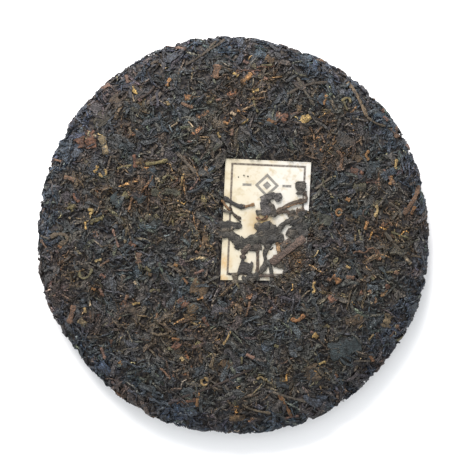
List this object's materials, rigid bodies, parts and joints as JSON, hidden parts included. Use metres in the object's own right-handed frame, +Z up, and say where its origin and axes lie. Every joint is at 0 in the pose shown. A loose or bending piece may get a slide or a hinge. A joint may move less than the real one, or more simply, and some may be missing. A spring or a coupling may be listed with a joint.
{
  "type": "pu erh tea cake",
  "caption": "Round pressed cake of dark aged tea leaves, twigs and buds with a low domed top, ragged edge, knot hollow beneath and a cream paper ticket half buried in the top",
  "frame": {"origin": "middle of the underside, on the surface that the cake rests on", "axes": "+Z up out of the domed face that carries the ticket; +Y towards the ticket's top edge; +X to the right as the ticket is read"},
  "size_m": [0.1999, 0.2017, 0.0229],
  "materials": {
    "tea": "matte to satin dried leaf",
    "paper": "matte thin paper"
  },
  "bodies": {
    "root": {"pressed_tea": "tea", "inner_ticket": "paper"}
  },
  "joints": []
}
